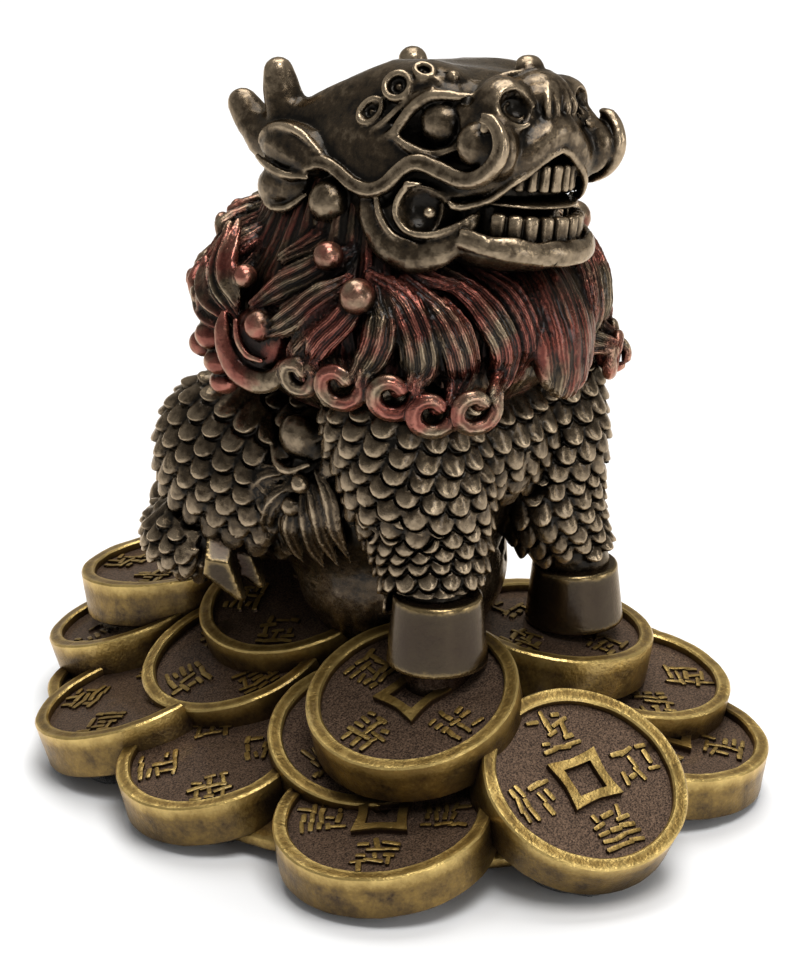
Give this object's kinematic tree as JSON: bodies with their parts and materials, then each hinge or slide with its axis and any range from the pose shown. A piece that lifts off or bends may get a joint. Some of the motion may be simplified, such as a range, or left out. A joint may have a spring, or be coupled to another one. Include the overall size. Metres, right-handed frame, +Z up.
{
  "type": "qilin figurine",
  "caption": "Small cast figurine of a seated qilin with open mouth, horns and curled mane on a pile of cash coins, with a felt pad under it.",
  "frame": {"origin": "middle of the outline's box in plan, on the surface that the felt stands on", "axes": "+Z up, the animal looks along -Y, its right side is on -X"},
  "size_m": [0.0794, 0.0956, 0.0898],
  "materials": {
    "bronze": "dark antique bronze patina, highlights rubbed pale",
    "coin_brass": "aged brass rims, worn bright along the edges, dark grainy fields",
    "felt": "black self-adhesive felt"
  },
  "bodies": {
    "root": {"qilin_on_coins": "bronze", "felt_pad": "felt"}
  },
  "joints": []
}
